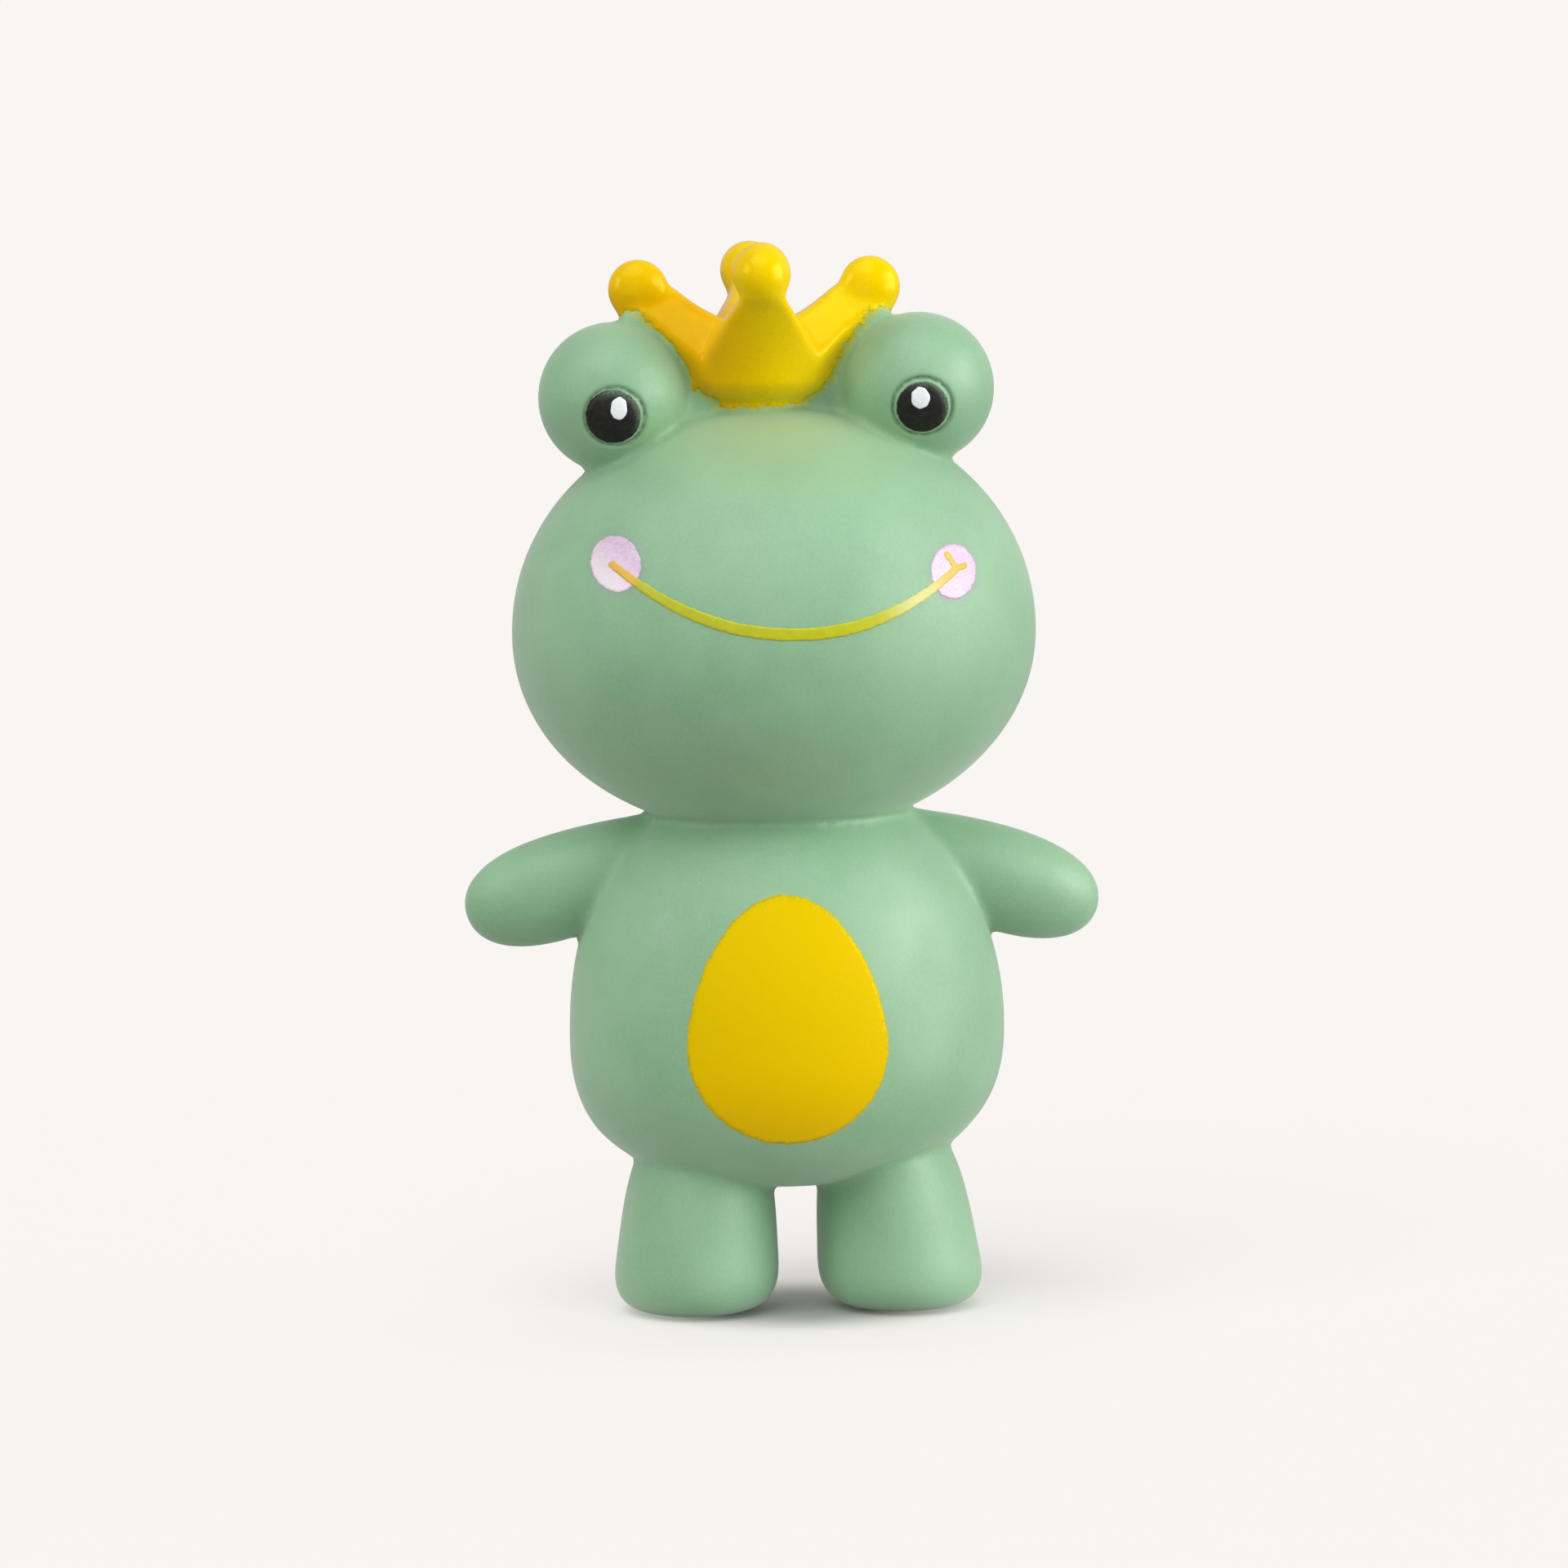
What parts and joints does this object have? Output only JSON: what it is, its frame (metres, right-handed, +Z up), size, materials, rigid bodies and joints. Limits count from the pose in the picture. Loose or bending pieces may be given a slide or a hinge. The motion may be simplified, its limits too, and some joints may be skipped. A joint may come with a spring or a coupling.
{
  "type": "rubber squeeze toy",
  "caption": "Hollow rubber frog squeeze toy with a moulded crown, painted face and belly, standing on two legs, with a reed squeaker pressed into its back.",
  "frame": {"origin": "on the ground under the middle of the figure", "axes": "+Z up, front of the figure towards -Y, the figure's left arm towards +X"},
  "size_m": [0.0826, 0.0601, 0.1399],
  "materials": {
    "green_rubber": "satin",
    "yellow_paint": "satin gloss",
    "olive_paint": "satin",
    "pearl_pink_paint": "pearl satin",
    "black_paint": "satin gloss",
    "white_paint": "satin",
    "white_plastic": "satin",
    "reed_plastic": "translucent film"
  },
  "bodies": {
    "toy": {"rubber_moulding": "green_rubber", "crown_paint": "yellow_paint", "belly_paint": "yellow_paint", "smile_paint": "olive_paint", "left_cheek_paint": "pearl_pink_paint", "right_cheek_paint": "pearl_pink_paint", "left_pupil_paint": "black_paint", "right_pupil_paint": "black_paint", "left_eye_highlight": "white_paint", "right_eye_highlight": "white_paint", "squeaker_housing": "white_plastic", "squeaker_cap": "white_plastic", "reed_seat": "white_plastic", "reed_wedge": "white_plastic", "reed_root": "reed_plastic"},
    "reed": {"reed_tongue": "reed_plastic"}
  },
  "joints": [
    {"name": "reed_flex", "type": "hinge", "parent": "toy", "child": "reed", "pos_m": [0, 0.0175, 0.0421], "axis": [1, 0, 0], "range_deg": [-4, 1.8], "stiffness_Nm_per_rad": 0.00002}
  ]
}
